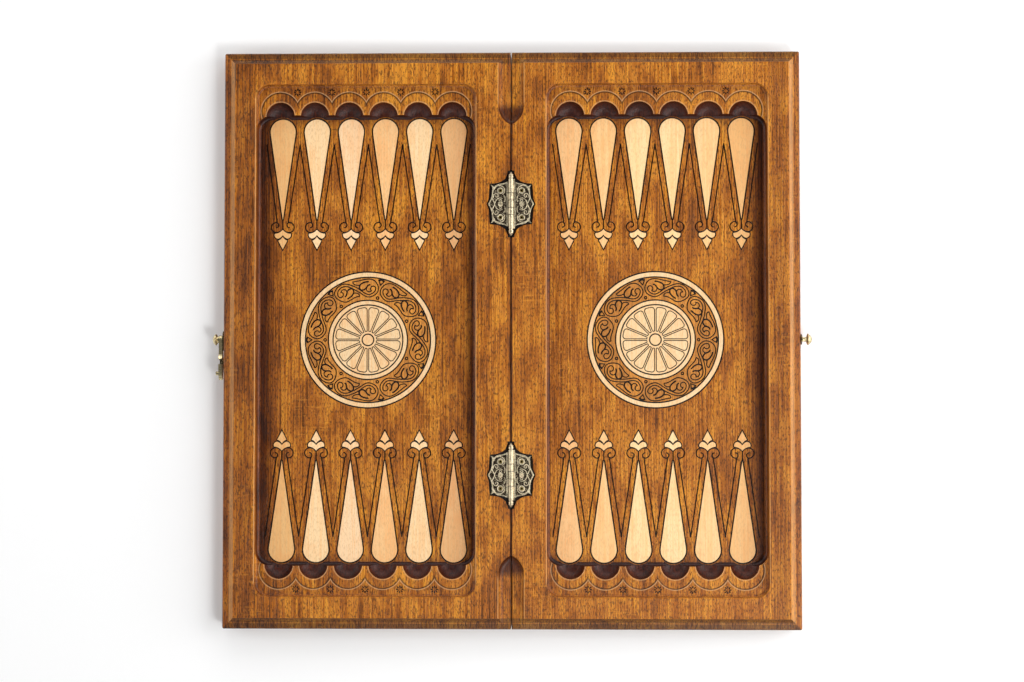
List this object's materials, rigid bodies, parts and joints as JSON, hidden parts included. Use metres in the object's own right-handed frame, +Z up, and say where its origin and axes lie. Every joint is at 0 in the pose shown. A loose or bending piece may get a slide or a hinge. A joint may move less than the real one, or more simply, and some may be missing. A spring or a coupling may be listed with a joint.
{
  "type": "folding chess and backgammon board",
  "caption": "Carved wooden game board in two hinged halves: inlaid backgammon trays inside, chess field outside, with a swinging hook latch.",
  "frame": {"origin": "middle of the seam between the two halves, on the table, with the board lying open", "axes": "+X across the halves towards the half with the catch stud, +Y along the seam, +Z up out of the playing side"},
  "size_m": [0.5204, 0.5, 0.0275],
  "materials": {
    "carved_wood": "satin",
    "panel_wood": "satin",
    "light_wood": "satin",
    "dark_wood": "satin",
    "brass": "antique cast"
  },
  "bodies": {
    "right_half": {"right_case": "carved_wood", "right_play_panel": "panel_wood", "right_point_inlays": "light_wood", "right_bud_inlays": "light_wood", "right_medallion_outer_ring": "light_wood", "right_medallion_inner_ring": "light_wood", "right_medallion_web": "light_wood", "right_medallion_petals": "light_wood", "right_medallion_hub": "light_wood", "right_chess_light_squares": "light_wood", "right_chess_dark_squares": "dark_wood", "right_chess_stringing": "light_wood", "right_hinge_nails": "brass", "right_upper_hinge_leaf": "brass", "right_lower_hinge_leaf": "brass", "upper_hinge_pin": "brass", "lower_hinge_pin": "brass", "catch_washer": "brass", "catch_stud": "brass"},
    "left_half": {"left_case": "carved_wood", "left_play_panel": "panel_wood", "left_point_inlays": "light_wood", "left_bud_inlays": "light_wood", "left_medallion_outer_ring": "light_wood", "left_medallion_inner_ring": "light_wood", "left_medallion_web": "light_wood", "left_medallion_petals": "light_wood", "left_medallion_hub": "light_wood", "left_chess_light_squares": "light_wood", "left_chess_dark_squares": "dark_wood", "left_chess_stringing": "light_wood", "left_hinge_nails": "brass", "left_upper_hinge_leaf": "brass", "left_lower_hinge_leaf": "brass", "latch_plate": "brass", "latch_plate_nails": "brass", "latch_pivot": "brass"},
    "latch_hook": {"latch_hook": "brass"}
  },
  "joints": [
    {"name": "fold", "type": "hinge", "parent": "right_half", "child": "left_half", "pos_m": [0, 0, 0.0252], "axis": [0, 1, 0], "range_deg": [0, 180]},
    {"name": "latch_swing", "type": "hinge", "parent": "left_half", "child": "latch_hook", "pos_m": [-0.25, 0, 0.01545], "axis": [-1, 0, 0], "range_deg": [-20, 90]}
  ]
}
